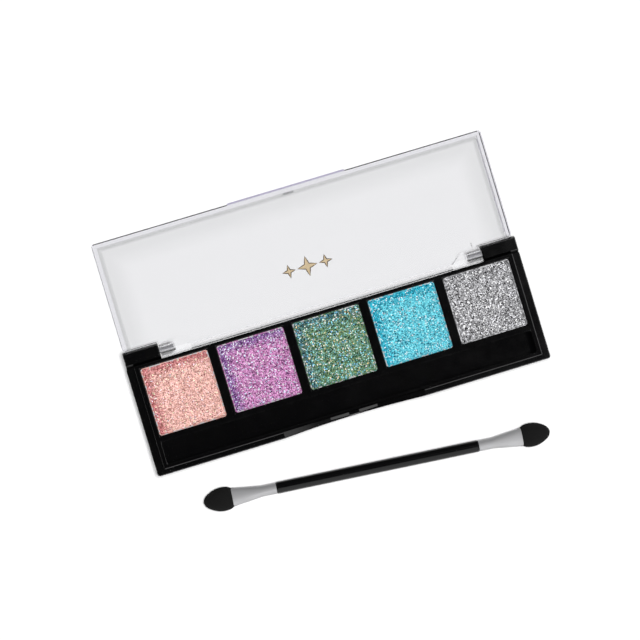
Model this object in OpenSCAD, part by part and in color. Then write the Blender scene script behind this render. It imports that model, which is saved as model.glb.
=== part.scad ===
// Five-pan eyeshadow palette with a hinged clear cover and a double-ended
// sponge applicator. Millimetres, +Z up, hinge along X at the back (+Y).
// The origin is the centre of the case's underside. The cover is drawn open,
// lying flat behind the case, and the applicator lies in front of it.

/* [Pans and powder] */
// Side of one square metal pan
pan_side = 20.2; // [16:0.1:28]
// Height of a pan
pan_h = 3.2; // [2.4:0.1:5]
// Sheet thickness of a pan
pan_t = 0.3; // [0.2:0.05:0.4]
// Corner radius of a pan, seen from above
pan_r = 0.7; // [0.6:0.1:2]
// Bend radius round the bottom of a pan
pan_bend = 0.6; // [0.5:0.05:0.6]
// How far the powder stays below the rim of its pan
powder_drop = 0.1; // [0:0.05:0.6]
// Rounding of the powder's top edge
powder_edge = 0.2; // [0.1:0.05:0.4]
// Running gap between powder and pan
powder_gap = 0.02; // [0.01:0.01:0.1]
// Thickness of the glue dot under a pan
glue_t = 0.3; // [0.1:0.05:0.6]
// Diameter of the glue dot
glue_d = 8.4; // [4:0.1:8.8]

/* [Tray] */
// Gap on each side between a pan and its window
pan_gap = 0.15; // [0.05:0.05:0.3]
// Bar between two windows
divider_w = 2.5; // [2:0.1:6]
// Land outside the end windows
side_land = 1.45; // [1.2:0.05:5]
// Land in front of the trough
front_land = 1.25; // [1.2:0.05:4]
// Land between the trough and the windows
middle_land = 1.65; // [1.2:0.05:5]
// Land behind the windows
back_land = 1.05; // [0.9:0.05:3]
// Width of the applicator trough
trough_w = 6.55; // [5:0.05:14]
// How much longer the trough is than the row of windows
trough_over = 0.3; // [0:0.1:1]
// Corner radius of the trough
trough_r = 0.8; // [0.4:0.1:2]
// Corner radius of a window
window_r = 0.5; // [0.3:0.05:0.6]
// Wall of the trough and of the window collars
tray_wall = 0.8; // [0.6:0.05:1]
// Floor of the trough
trough_floor = 1; // [0.6:0.1:1.5]
// How far the pans' rims stay below the deck
pan_sink = 0.6; // [0.3:0.1:1.5]
// How far the deck stands above the ledge
deck_rise = 1.4; // [1:0.1:2.4]
// Rounding of the deck's outer edge
deck_edge = 0.25; // [0.1:0.05:0.5]
// Chamfer round the windows and the trough
mouth_chamfer = 0.15; // [0.05:0.05:0.3]

/* [Case] */
// Ledge beside the deck, where the cover's side wall sits
ledge_side = 2.3; // [2:0.1:5]
// Ledge in front of the deck
ledge_front = 1.6; // [1.6:0.1:5]
// Thickness of the case's floor
base_floor = 1.2; // [0.8:0.1:2]
// Height of the pan seats above the floor
seat_h = 2.1; // [1.2:0.1:4]
// Wall behind the pans
back_wall = 0.9; // [0.6:0.05:0.9]
// Corner radius of the case, seen from above
corner_r = 0.8; // [0.4:0.1:2]
// Rounding of the case's top edges
edge_r = 0.3; // [0.1:0.05:0.4]
// Width of the finger scoop in the front edge
scoop_w = 43; // [30:1:60]
// Depth of the scoop into the front face
scoop_in = 0.65; // [0.2:0.05:0.9]
// How far the ledge dips in the scoop
scoop_dip = 1.2; // [0.4:0.1:1.5]
// Width of the latch pocket
latch_w = 14.3; // [8:0.1:26]
// Depth of the latch pocket behind the scooped deck edge
latch_in = 0.35; // [0.2:0.05:0.4]
// Width of the catch nub in the pocket
nub_w = 3.6; // [2:0.1:6]
// How far the sloping latch face reaches forward from the tray
ramp_in = 0.85; // [0.4:0.05:0.9]
// Rise of the sloping latch face
ramp_rise = 0.6; // [0.3:0.05:0.9]

/* [Cover and hinge] */
// Thickness of the cover's top plate and knuckle wall
plate_t = 1.5; // [1:0.1:2]
// Thickness of the cover's walls
wall_t = 1.4; // [1:0.1:1.5]
// Thickness of the cover's front wall where it is clear of the deck
front_t = 1.9; // [1.5:0.1:3]
// Room between the deck and the closed cover's plate
lid_room = 2.1; // [1.4:0.1:8]
// How far the cover's sides stand back from the case's sides
lid_inset = 0.6; // [0.2:0.1:0.6]
// Rounding of the cover's outer edges
lid_edge = 0.4; // [0.1:0.05:0.6]
// Radius of the hinge knuckle
knuckle_r = 2.15; // [1.8:0.05:3]
// Width of a hinge ear
ear_w = 10.8; // [9:0.1:16]
// How much farther an ear reaches round the hinge axis than the knuckle
ear_over = 0.2; // [0.05:0.05:0.25]
// Height of an ear's flat top above the hinge axis
ear_flat = 1.7; // [1.4:0.05:1.9]
// Full-height length of a hinge boss
boss_l = 5.5; // [5:0.1:12]
// Length of a boss's slanted end
boss_taper = 3.45; // [1:0.05:8]
// Radius of a hinge pin
pin_r = 0.75; // [0.4:0.05:1]
// How far a pin reaches into the cover
pin_reach = 4; // [2.5:0.1:4.5]
// Width of the thumb lip
lip_w = 36; // [20:1:44]
// How far the thumb lip stands out
lip_out = 0.5; // [0.3:0.1:2]

/* [Clearances] */
// Swing clearance between the knuckle and the case
swing_gap = 0.25; // [0.15:0.05:0.6]
// Side clearance between an ear and the cover
ear_gap = 0.3; // [0.15:0.05:0.6]
// Height of the closed cover's walls above what they cover
rest_gap = 0.1; // [0.05:0.05:0.3]
// Clearance between the deck and the cover's walls
deck_gap = 0.2; // [0.1:0.05:0.3]
// Clearance of the tray in the case
tray_gap = 0.2; // [0.1:0.05:0.25]
// Radial clearance of a pin in the cover
pin_play = 0.05; // [0.02:0.01:0.1]
// Radial interference of a pin in its ear
pin_press = 0.01; // [0.005:0.005:0.02]

/* [Applicator] */
// Diameter of the handle
handle_d = 3.5; // [2.6:0.1:5]
// Length of the handle between the ferrules
handle_l = 60.8; // [40:0.1:70]
// Length of a ferrule
ferrule_l = 13.1; // [10:0.1:16]
// Outer diameter of a ferrule's round end
ferrule_d = 3.3; // [2.4:0.1:4.6]
// Width of a ferrule's flat mouth
mouth_w = 5.5; // [4:0.1:7]
// Thickness of a ferrule's flat mouth
mouth_t = 2.6; // [2.2:0.1:3.2]
// Sheet thickness of a ferrule
ferrule_t = 0.2; // [0.1:0.05:0.3]
// Length of the handle's tenon inside a ferrule
tenon_l = 5; // [3:0.1:6]
// Exposed length of a sponge tip
sponge_l = 8.7; // [6:0.1:12]
// Widest part of a sponge tip
sponge_w = 7.2; // [5.5:0.1:9]
// Thickness of a sponge tip
sponge_t = 4.3; // [3.4:0.1:6]
// Width of the stiff core inside a tip
core_w = 2.4; // [1.6:0.1:2.8]
// Thickness of the core
core_t = 0.9; // [0.6:0.1:1.2]
// How far the core reaches into the sponge
core_in = 5.6; // [3:0.1:5.8]
// Fit gap between core, sponge and ferrule
fit_gap = 0.03; // [0.02:0.01:0.05]
// Distance from the case's front to the applicator's middle
applicator_out = 16; // [12:0.5:40]
// Sideways place of the applicator's middle
applicator_x = 2.2; // [-20:0.1:20]
// Turn of the applicator on the table
applicator_turn = -5.2; // [-10:0.1:10]

/* [Hidden] */
$fn = 64;
eps = 0.01;
// how far a cutter reaches past what it cuts
over = 1;
PAN_COUNT = 5;

// Plan of the case, built up from its lands and ledges
window = pan_side + 2 * pan_gap;
pitch = window + divider_w;
row_w = (PAN_COUNT - 1) * pitch + window;
deck_w = row_w + 2 * side_land;
case_w = deck_w + 2 * ledge_side;
ear_r = knuckle_r + ear_over;
case_d = ledge_front + front_land + trough_w + middle_land + window + back_land
    + swing_gap + knuckle_r + ear_r;
front_y = -case_d / 2;
back_y = case_d / 2;
deck_front = front_y + ledge_front;
trough_front = deck_front + front_land;
trough_back = trough_front + trough_w;
window_front = trough_back + middle_land;
window_back = window_front + window;
deck_back = window_back + back_land;
row_y = (window_front + window_back) / 2;
hinge_y = deck_back + swing_gap + knuckle_r;
trough_l = row_w + trough_over;

// Levels
seat_z = base_floor + seat_h;
pan_z = seat_z + glue_t;
deck_z = pan_z + pan_h + pan_sink;
ledge_z = deck_z - deck_rise;
plate_z = deck_z + lid_room;
case_h = plate_z + plate_t;
hinge_z = case_h / 2;
rim_z = ledge_z + rest_gap;

// Hinge
ear_in = case_w / 2 - ear_w;
ear_inset = 0.2;
tongue_half = ear_in - ear_gap;
boss_in = tongue_half - boss_l;
bore_floor = 0.4;
pin_end = tongue_half - pin_reach;
pin_head = case_w / 2 - 0.4;
ear_core_wall = 1.1;
ear_core_h = hinge_z - pin_r - ear_core_wall;
ear_core_r = 0.4;
ear_root = 0.5;

// Cover
lid_w = case_w - 2 * lid_inset;
notch_y = hinge_y - ear_r - deck_gap;
lip_set = 0.1;
lip_h = plate_t - 2 * lip_set;
lip_bite = 1.5;
lip_r = 0.4;

// Case and latch
cavity_half = trough_l / 2 + tray_wall + tray_gap;
cavity_front = trough_front - tray_wall - tray_gap;
cavity_back = deck_back - back_wall;
cavity_r = 2 * tray_gap;
scoop_set = scoop_in - 0.1;
scooped_deck = deck_front + scoop_set;
pocket_y = scooped_deck + latch_in;
pocket_drop = 0.4;
nub_h = 0.6;
nub_top = 0.2;
stop_w = 3.1;
stop_slope = 0.25;
hook_w = nub_w - 0.4;
hook_h = 0.5;
seat_rib = 0.9;
seat_pad = glue_d + 0.4;
rib_l = pan_side + 2;
deck_r = deck_edge + 0.2;
slot_roof = 0.4;

// Applicator
end_x = handle_l / 2;
mouth_x = end_x + ferrule_l;
round_l = 4.2;
slice = 0.02;
oval_sides = 32;
tenon_r = ferrule_d / 2 - ferrule_t - fit_gap;
neck_l = 2.5;
// the neck fits where the ferrule is narrowest over the neck's length
neck_w = mouth_w - (mouth_w - ferrule_d) * neck_l / (ferrule_l - round_l)
    - 2 * ferrule_t - 2 * fit_gap;
neck_t = mouth_t - 2 * ferrule_t - 2 * fit_gap;
applicator_z = sponge_t / 2;

// Middle of pan i of the row, counted from the left
function pan_x(i) = (i - (PAN_COUNT - 1) / 2) * pitch;

// Radius of the circle through a chord's ends and a rise at its middle
function arc_r(chord, rise) = (chord * chord) / (8 * rise) + rise / 2;

// ---------- outlines and blocks ----------

// Rectangle with round corners, centred
module round_rect(w, d, r) {
    square([w - 2 * r, d], center = true);
    square([w, d - 2 * r], center = true);
    for (sx = [-1, 1], sy = [-1, 1])
        translate([sx * (w / 2 - r), sy * (d / 2 - r)]) circle(r);
}

// Upright section of a block whose two top corners are round
module crown(w, h, e) {
    translate([-w / 2, 0]) square([w, h - e]);
    translate([-w / 2 + e, 0]) square([w - 2 * e, h]);
    for (s = [-1, 1]) translate([s * (w / 2 - e), h - e]) circle(e);
}

// Block on z = 0 with corner radius r in plan and top edges rounded by e
module soft_block(w, d, h, r, e) {
    intersection() {
        linear_extrude(h) round_rect(w, d, r);
        rotate([90, 0, 0]) linear_extrude(d, center = true) crown(w, h, e);
        rotate([90, 0, 90]) linear_extrude(w, center = true) crown(d, h, e);
    }
}

// The same block between two y values, standing on z
module soft_block_at(half_w, y0, y1, z0, z1, r, e) {
    translate([0, (y0 + y1) / 2, z0]) soft_block(2 * half_w, y1 - y0, z1 - z0, r, e);
}

// Plain box from corner to corner
module box(lo, hi) {
    translate(lo) cube(hi - lo);
}

// Section of a chamfer cutter: it passes c outside the opening at height z
module hopper_section(a0, a1, z, c) {
    polygon([[a0 + c, z - 2 * c], [a1 - c, z - 2 * c], [a1 + 2 * c, z + c], [a0 - 2 * c, z + c]]);
}

// Cutter that chamfers the mouth of a rectangular opening at height z
module mouth_cut(x0, x1, y0, y1, z, c) {
    intersection() {
        translate([0, y1 + over, 0]) rotate([90, 0, 0])
            linear_extrude(y1 - y0 + 2 * over) hopper_section(x0, x1, z, c);
        translate([x0 - over, 0, 0]) rotate([90, 0, 90])
            linear_extrude(x1 - x0 + 2 * over) hopper_section(y0, y1, z, c);
    }
}

// ---------- case ----------

// Ear beside the cover's knuckle: upright below the axis, with round
// shoulders above it, so that the cover's walls clear it over the whole swing
module hinge_ear(side) {
    w = ear_w - ear_inset;
    translate([side * (ear_in + w / 2), hinge_y, 0])
        intersection() {
            rotate([90, 0, 90]) linear_extrude(w, center = true) {
                translate([-ear_r, 0]) square([2 * ear_r, hinge_z]);
                translate([-ear_r - ear_root, 0])
                    square([ear_r + ear_root, ledge_z - ear_root]);
                translate([0, hinge_z]) intersection() {
                    circle(ear_r);
                    translate([-ear_r - over, -over])
                        square([2 * (ear_r + over), over + ear_flat]);
                }
            }
            rotate([90, 0, 0]) linear_extrude(4 * ear_r, center = true)
                crown(w, hinge_z + ear_flat, edge_r);
            linear_extrude(case_h) translate([0, -ear_root])
                round_rect(w, 2 * (ear_r + ear_root), edge_r);
        }
}

// Pocket that cores out an ear from below
module ear_core(side) {
    middle = side * (ear_in + ear_w / 2);
    translate([middle, hinge_y, -eps])
        linear_extrude(ear_core_h)
            round_rect(ear_w - 2 * ear_core_wall - ear_inset,
                2 * (ear_r - ear_core_wall), ear_core_r);
}

// Seat that carries one pan: a glue pad on two crossed ribs
module pan_seat() {
    cylinder(d = seat_pad, h = seat_h + eps);
    for (a = [45, 135])
        rotate([0, 0, a]) translate([-rib_l / 2, -seat_rib / 2, 0])
            cube([rib_l, seat_rib, seat_h + eps]);
}

// Finger scoop: a shallow hollow in the front face
module scoop_face() {
    r = arc_r(scoop_w, scoop_in);
    translate([0, front_y + scoop_in - r, -over])
        cylinder(r = r, h = case_h + 2 * over, $fn = 720);
}

// Finger scoop: a shallow dip along the ledge
module scoop_ledge() {
    r = arc_r(scoop_w, scoop_dip);
    translate([0, front_y - over, ledge_z - scoop_dip + r])
        rotate([-90, 0, 0])
            cylinder(r = r, h = over + cavity_front - front_y + eps, $fn = 720);
}

// Sloping face in front of the latch pocket, with a flat stop in its middle
module latch_ramp() {
    foot_z = ledge_z - scoop_dip;
    foot_y = cavity_front - ramp_in;
    top_z = foot_z + ramp_rise;
    difference() {
        rotate([90, 0, 90]) {
            linear_extrude(latch_w, center = true)
                polygon([[foot_y, foot_z], [cavity_front, top_z],
                    [cavity_front, foot_z - over], [foot_y, foot_z - over]]);
            linear_extrude(stop_w, center = true)
                polygon([[foot_y - stop_slope, foot_z], [foot_y, top_z], [cavity_front, top_z],
                    [cavity_front, foot_z - over], [foot_y - stop_slope, foot_z - over]]);
        }
        scoop_face();
    }
}

module base_shell() {
    color("#101011") {
        difference() {
            union() {
                soft_block_at(case_w / 2, front_y, deck_back, 0, ledge_z, corner_r, edge_r);
                for (side = [-1, 1]) hinge_ear(side);
            }
            translate([0, (cavity_front + cavity_back) / 2, base_floor])
                linear_extrude(case_h)
                    round_rect(2 * cavity_half, cavity_back - cavity_front, cavity_r);
            box([-ear_in, deck_back, -over], [ear_in, back_y + over, case_h + over]);
            scoop_face();
            scoop_ledge();
            for (side = [-1, 1]) {
                ear_core(side);
                translate([side * (ear_in - over), hinge_y, hinge_z])
                    rotate([0, side * 90, 0])
                        cylinder(r = pin_r - pin_press, h = ear_w + 2 * over);
            }
        }
        for (i = [0 : PAN_COUNT - 1])
            translate([pan_x(i), row_y, base_floor - eps]) pan_seat();
        latch_ramp();
    }
}

// ---------- tray ----------

// Bars that hang below the deck and hold the pans apart
module window_bars() {
    bar_h = ledge_z - pan_z + eps;
    slot_w = divider_w - 2 * tray_wall;
    for (i = [0 : PAN_COUNT - 2])
        translate([(pan_x(i) + pan_x(i + 1)) / 2, 0, 0]) difference() {
            box([-divider_w / 2, window_front - eps, pan_z],
                [divider_w / 2, window_back, pan_z + bar_h]);
            box([-slot_w / 2, window_front + tray_wall, pan_z - over],
                [slot_w / 2, window_back - tray_wall, ledge_z - slot_roof]);
        }
    for (side = [-1, 1])
        translate([side * (row_w + tray_wall) / 2, 0, 0])
            box([-tray_wall / 2, window_front - eps, pan_z],
                [tray_wall / 2, window_back, pan_z + bar_h]);
    box([-row_w / 2 - tray_wall, window_front - tray_wall, pan_z],
        [row_w / 2 + tray_wall, window_front, pan_z + bar_h]);
}

// Cup of the applicator trough, standing on the case's floor
module trough_cup() {
    box([-trough_l / 2 - tray_wall, trough_front - tray_wall, base_floor],
        [trough_l / 2 + tray_wall, trough_back + tray_wall, ledge_z + eps]);
}

module inner_tray() {
    color("#151516")
    difference() {
        union() {
            soft_block_at(deck_w / 2, deck_front, deck_back, ledge_z, deck_z,
                deck_r, deck_edge);
            window_bars();
            trough_cup();
        }
        for (i = [0 : PAN_COUNT - 1]) {
            translate([pan_x(i), row_y, ledge_z - over])
                linear_extrude(deck_rise + 2 * over) round_rect(window, window, window_r);
            mouth_cut(pan_x(i) - window / 2, pan_x(i) + window / 2,
                window_front, window_back, deck_z, mouth_chamfer);
        }
        translate([0, (trough_front + trough_back) / 2, base_floor + trough_floor])
            linear_extrude(deck_z) round_rect(trough_l, trough_w, trough_r);
        mouth_cut(-trough_l / 2, trough_l / 2, trough_front, trough_back,
            deck_z, mouth_chamfer);
        // the deck's front edge follows the finger scoop, over the latch pocket
        box([-scoop_w / 2, deck_front - over, ledge_z - scoop_dip - pocket_drop],
            [scoop_w / 2, scooped_deck, deck_z + over]);
        difference() {
            box([-latch_w / 2, deck_front - over, ledge_z - scoop_dip - pocket_drop],
                [latch_w / 2, pocket_y, deck_z + over]);
            box([-nub_w / 2, scooped_deck, deck_z - nub_top - nub_h],
                [nub_w / 2, pocket_y + over, deck_z - nub_top]);
        }
    }
}

// ---------- pans and powder ----------

// Square stamped cup with bent bottom edges, its floor on z = 0
module cup_form(side, h, r, bend) {
    translate([0, 0, h]) mirror([0, 0, 1]) soft_block(side, side, h, r, bend);
}

module pan(i) {
    inside = pan_side - 2 * pan_t;
    color("#c9c9cc") translate([pan_x(i), row_y, pan_z])
        difference() {
            cup_form(pan_side, pan_h, pan_r, pan_bend);
            translate([0, 0, pan_t])
                cup_form(inside, pan_h, pan_r - pan_t, pan_bend - pan_t);
        }
}

module powder(i, tint) {
    fit = pan_side - 2 * pan_t - 2 * powder_gap;
    h = pan_h - pan_t - powder_drop;
    color(tint) translate([pan_x(i), row_y, pan_z + pan_t])
        intersection() {
            soft_block(fit, fit, h, pan_r - pan_t, powder_edge);
            cup_form(fit, h + over, pan_r - pan_t, pan_bend - pan_t);
        }
}

module pan_rose() { pan(0); }
module pan_lilac() { pan(1); }
module pan_green() { pan(2); }
module pan_turquoise() { pan(3); }
module pan_silver() { pan(4); }

module shade_rose() { powder(0, "#e6a093"); }
module shade_lilac() { powder(1, "#c391c6"); }
module shade_green() { powder(2, "#6f9a83"); }
module shade_turquoise() { powder(3, "#3fb4cf"); }
module shade_silver() { powder(4, "#9d9d9f"); }

module pan_glue() {
    color("#d8cfae")
        for (i = [0 : PAN_COUNT - 1])
            translate([pan_x(i), row_y, seat_z]) cylinder(d = glue_d, h = glue_t);
}

// ---------- cover, drawn closed and then swung open ----------

// Section of the knuckle wall about the hinge axis: x is y, y is z
module knuckle_section() {
    top = case_h - hinge_z;
    inner_r = knuckle_r - plate_t;
    intersection() {
        circle(knuckle_r);
        translate([inner_r, -knuckle_r]) square([plate_t, knuckle_r + eps]);
    }
    translate([inner_r, 0]) square([plate_t, top - knuckle_r]);
    translate([0, top - knuckle_r]) difference() {
        intersection() {
            circle(knuckle_r);
            translate([-eps, -eps]) square(knuckle_r + eps);
        }
        circle(inner_r);
        translate([-over, -over]) square([over + inner_r, over]);
    }
    translate([-knuckle_r - 2, top - plate_t]) square([knuckle_r + 2, plate_t]);
}

// Section of a boss, solid round its pin
module boss_section() {
    top = case_h - hinge_z;
    circle(knuckle_r);
    translate([-knuckle_r, 0]) square([2 * knuckle_r, top - knuckle_r]);
    translate([-knuckle_r, top - knuckle_r]) square([knuckle_r, knuckle_r]);
    translate([0, top - knuckle_r]) circle(knuckle_r);
}

// Extrudes a section along the hinge, from x0 to x1
module along_hinge(x0, x1) {
    translate([x0, hinge_y, hinge_z]) rotate([90, 0, 90]) linear_extrude(x1 - x0) children();
}

// Plan of the right boss: full to boss_in, then slanting back to the wall
module boss_plan() {
    polygon([
        [tongue_half, -knuckle_r - over], [tongue_half, knuckle_r + over],
        [boss_in - boss_taper, knuckle_r + over],
        [boss_in - boss_taper, knuckle_r - plate_t],
        [boss_in, -knuckle_r], [boss_in, -knuckle_r - over]
    ]);
}

module boss() {
    intersection() {
        along_hinge(boss_in - boss_taper, tongue_half) boss_section();
        translate([0, hinge_y, 0]) linear_extrude(case_h + over) boss_plan();
    }
}

// Box of plate and four walls, with the back wall only beside the tongue
module cover_box() {
    inner_half = lid_w / 2 - wall_t;
    inner_front = front_y + front_t;
    inner_back = notch_y - wall_t;
    clear_z = deck_z + deck_gap;
    difference() {
        soft_block_at(lid_w / 2, front_y, notch_y, rim_z, case_h, corner_r, lid_edge);
        translate([0, (inner_front + inner_back) / 2, 0])
            linear_extrude(plate_z)
                round_rect(2 * inner_half, inner_back - inner_front, corner_r);
        // the front wall is thinner where it passes the deck
        box([-inner_half, front_y + wall_t, 0], [inner_half, inner_front + over, clear_z]);
        box([-tongue_half + wall_t, inner_back - over, 0],
            [tongue_half - wall_t, notch_y + over, plate_z]);
        box([-inner_half, inner_back - over, 0], [inner_half, notch_y + over, clear_z]);
    }
}

module cover_closed() {
    difference() {
        union() {
            cover_box();
            along_hinge(-tongue_half, tongue_half) knuckle_section();
            boss();
            mirror([1, 0, 0]) boss();
            translate([0, front_y + lip_bite / 2 - lip_out, plate_z + lip_set])
                linear_extrude(lip_h) round_rect(lip_w, lip_bite, lip_r);
            box([-hook_w / 2, front_y + wall_t - eps, rim_z],
                [hook_w / 2, scooped_deck - rest_gap, rim_z + hook_h]);
        }
        for (side = [-1, 1])
            translate([side * (pin_end - bore_floor), hinge_y, hinge_z])
                rotate([0, side * 90, 0])
                    cylinder(r = pin_r + pin_play, h = pin_reach + bore_floor + over);
    }
}

module lid_cover() {
    color("#dfe0ea", 0.4)
        translate([0, hinge_y, hinge_z]) rotate([180, 0, 0])
            translate([0, -hinge_y, -hinge_z]) cover_closed();
}

module hinge_pin(side) {
    color("#b9bbc0")
        translate([side * pin_end, hinge_y, hinge_z]) rotate([0, side * 90, 0])
            cylinder(r = pin_r, h = pin_head - pin_end);
}

module hinge_pin_left() { hinge_pin(-1); }
module hinge_pin_right() { hinge_pin(1); }

// ---------- applicator, built along x about its middle ----------

module on_table() {
    translate([applicator_x, front_y - applicator_out, applicator_z])
        rotate([0, 0, applicator_turn]) children();
}

module applicator_handle() {
    soft = 0.3;
    r = handle_d / 2;
    half = [
        [0, 0], [0, r], [end_x - soft, r], [end_x, r - soft],
        [end_x, tenon_r], [end_x + tenon_l - soft, tenon_r],
        [end_x + tenon_l, tenon_r - soft], [end_x + tenon_l, 0]
    ];
    color("#0e0e0f") on_table()
        for (side = [-1, 1]) rotate([0, side * 90, 0])
            rotate_extrude() polygon([for (p = half) [p[1], p[0]]]);
}

// Slab of length l with an oval section w wide and t thick, starting at x
module oval_bar(x, l, w, t) {
    translate([x, 0, 0]) rotate([90, 0, 90])
        linear_extrude(l) polygon([for (a = [0 : 360 / oval_sides : 359])
            [w / 2 * cos(a), t / 2 * sin(a)]]);
}

// Solid form of a ferrule: round where it grips the handle, flat at its mouth
module ferrule_form(w0, w1, t1, x0, x1) {
    oval_bar(x0, end_x + round_l - x0, w0, w0);
    hull() {
        oval_bar(end_x + round_l, slice, w0, w0);
        oval_bar(x1 - slice, slice, w1, t1);
    }
}

module ferrule() {
    sheet = 2 * ferrule_t;
    color("#c4c5c8")
        difference() {
            ferrule_form(ferrule_d, mouth_w, mouth_t, end_x, mouth_x);
            ferrule_form(ferrule_d - sheet, mouth_w - sheet, mouth_t - sheet,
                end_x - over, mouth_x + slice);
        }
}

// Flat stem from the handle's tenon into the sponge, grown by g
module core_form(g) {
    x0 = end_x + tenon_l;
    x1 = mouth_x + core_in;
    translate([(x0 + x1) / 2, 0, -core_t / 2 - g])
        linear_extrude(core_t + 2 * g)
            round_rect(x1 - x0 + 2 * g, core_w + 2 * g, core_w / 3);
}

module tip_core() {
    color("#e9e7df") core_form(0);
}

// Foam tip: a teardrop on a neck that is crimped in the ferrule's mouth
module sponge_tip() {
    stations = [
        [0, 0.84, 0.72], [0.12, 0.94, 0.86], [0.3, 1, 1],
        [0.5, 0.96, 0.97], [0.72, 0.76, 0.79], [0.88, 0.5, 0.55], [0.97, 0.22, 0.26]
    ];
    color("#161617")
        difference() {
            union() {
                hull() for (s = stations)
                    oval_bar(mouth_x + s[0] * sponge_l, slice, s[1] * sponge_w, s[2] * sponge_t);
                oval_bar(mouth_x - neck_l, neck_l, neck_w, neck_t);
            }
            core_form(fit_gap);
        }
}

// The left-hand end of a piece that is drawn at the right
module left_end() {
    rotate([0, 0, 180]) children();
}

module ferrule_left() { on_table() left_end() ferrule(); }
module ferrule_right() { on_table() ferrule(); }
module tip_core_left() { on_table() left_end() tip_core(); }
module tip_core_right() { on_table() tip_core(); }
module sponge_tip_left() { on_table() left_end() sponge_tip(); }
module sponge_tip_right() { on_table() sponge_tip(); }

base_shell();
inner_tray();
pan_rose();
pan_lilac();
pan_green();
pan_turquoise();
pan_silver();
shade_rose();
shade_lilac();
shade_green();
shade_turquoise();
shade_silver();
pan_glue();
lid_cover();
hinge_pin_left();
hinge_pin_right();
applicator_handle();
ferrule_left();
ferrule_right();
tip_core_left();
tip_core_right();
sponge_tip_left();
sponge_tip_right();
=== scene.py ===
"""Finishes, powder cakes, foam tips and studio of a five-pan glitter palette.

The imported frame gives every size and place. Lengths are in metres, +Z is up and
the hinge runs along X behind the pans.
"""

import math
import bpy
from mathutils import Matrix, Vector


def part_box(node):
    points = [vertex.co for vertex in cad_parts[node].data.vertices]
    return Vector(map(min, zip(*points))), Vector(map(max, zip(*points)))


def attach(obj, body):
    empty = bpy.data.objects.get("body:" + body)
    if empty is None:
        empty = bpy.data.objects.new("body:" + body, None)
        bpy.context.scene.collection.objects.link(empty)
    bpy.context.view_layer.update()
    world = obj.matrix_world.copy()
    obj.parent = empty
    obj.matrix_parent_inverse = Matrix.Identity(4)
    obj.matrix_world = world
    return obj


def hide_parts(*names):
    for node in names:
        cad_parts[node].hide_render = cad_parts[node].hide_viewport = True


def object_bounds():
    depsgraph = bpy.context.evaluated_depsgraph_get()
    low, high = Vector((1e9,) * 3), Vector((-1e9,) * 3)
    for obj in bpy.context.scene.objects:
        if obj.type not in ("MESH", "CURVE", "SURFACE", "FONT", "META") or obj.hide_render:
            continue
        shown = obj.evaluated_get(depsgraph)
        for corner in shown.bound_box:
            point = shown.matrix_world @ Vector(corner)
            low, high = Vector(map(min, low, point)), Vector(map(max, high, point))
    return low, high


bl_info = {
    "name": "Glitter palette",
    "version": (1, 0, 0),
    "blender": (4, 5, 0),
    "location": "3D View > Sidebar > Palette",
    "description": "Finishes, powder cakes, foam tips and studio of a five-pan palette",
    "category": "Object",
}

import bpy
from bpy.props import (
    FloatProperty,
    FloatVectorProperty,
    IntProperty,
    PointerProperty,
)
from mathutils import Euler, Vector

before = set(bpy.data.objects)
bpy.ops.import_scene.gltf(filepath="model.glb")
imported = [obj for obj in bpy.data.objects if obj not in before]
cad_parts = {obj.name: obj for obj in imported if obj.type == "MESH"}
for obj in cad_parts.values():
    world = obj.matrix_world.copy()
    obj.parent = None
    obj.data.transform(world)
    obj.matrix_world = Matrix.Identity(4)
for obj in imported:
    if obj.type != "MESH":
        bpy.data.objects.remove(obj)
CAD_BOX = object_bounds()

MM = 0.001
SHADES = ("rose", "lilac", "green", "turquoise", "silver")
SIDES = ("left", "right")


# ---------- settings ----------


def length(label, about, default):
    """A length in metres that a user may change."""
    return FloatProperty(
        name=label, description=about, default=default, unit="LENGTH", precision=5
    )


def share(label, about, default, top=1.0):
    """A plain number between nought and top."""
    return FloatProperty(name=label, description=about, default=default, min=0.0, max=top)


def angle(label, about, degrees):
    """An angle, given in degrees."""
    return FloatProperty(
        name=label, description=about, default=math.radians(degrees), subtype="ANGLE"
    )


def tint(label, about, default):
    """A colour in linear light."""
    return FloatVectorProperty(
        name=label,
        description=about,
        default=default,
        subtype="COLOR",
        min=0.0,
        max=1.0,
        size=3,
    )


class PaletteBody(bpy.types.PropertyGroup):
    """Finishes of the case, the cover, the pans and the applicator."""

    black: tint("Black", "Colour of the moulded black plastic", (0.001, 0.001, 0.0012))
    black_gloss: share("Black roughness", "Roughness of the polished black plastic", 0.12)
    clear: tint("Clear", "Tint of the clear plastic", (0.941, 0.941, 0.947))
    # Painted refraction line: a violet outline along the cover's outer edges
    painted_edge_line: tint("Clear edge", "Tint of the cover's outermost edge", (0.50, 0.47, 0.63))
    # Painted refraction shade: a darker violet band where one looks down the cover's thick
    # walls
    painted_wall_band: tint("Clear wall", "Tint of the cover's walls", (0.875, 0.871, 0.898))
    # Painted shadow: a dark line on the plate at the inner root of the walls
    painted_root_shadow: tint(
        "Clear root", "Tint of the plate at the walls' root", (0.690, 0.693, 0.696)
    )
    # Painted shade: a greyer plate beside the walls, fading out towards the middle
    painted_wall_shade: tint(
        "Clear shade", "Tint of the plate beside the walls", (0.855, 0.858, 0.861)
    )
    clear_gloss: share("Clear roughness", "Roughness of the clear plastic", 0.02)
    pan_metal: tint("Pan metal", "Colour of the stamped pans", (0.75, 0.75, 0.77))
    ferrule: tint("Ferrule", "Colour of the satin ferrules", (0.44, 0.44, 0.45))
    foam: tint("Foam", "Colour of the sponge tips", (0.006, 0.006, 0.006))
    gold: tint("Gold", "Colour of the foil motif", (0.90, 0.72, 0.46))
    gold_edge: tint("Gold edge", "Colour of the foil motif's edge", (0.06, 0.035, 0.02))


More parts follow.
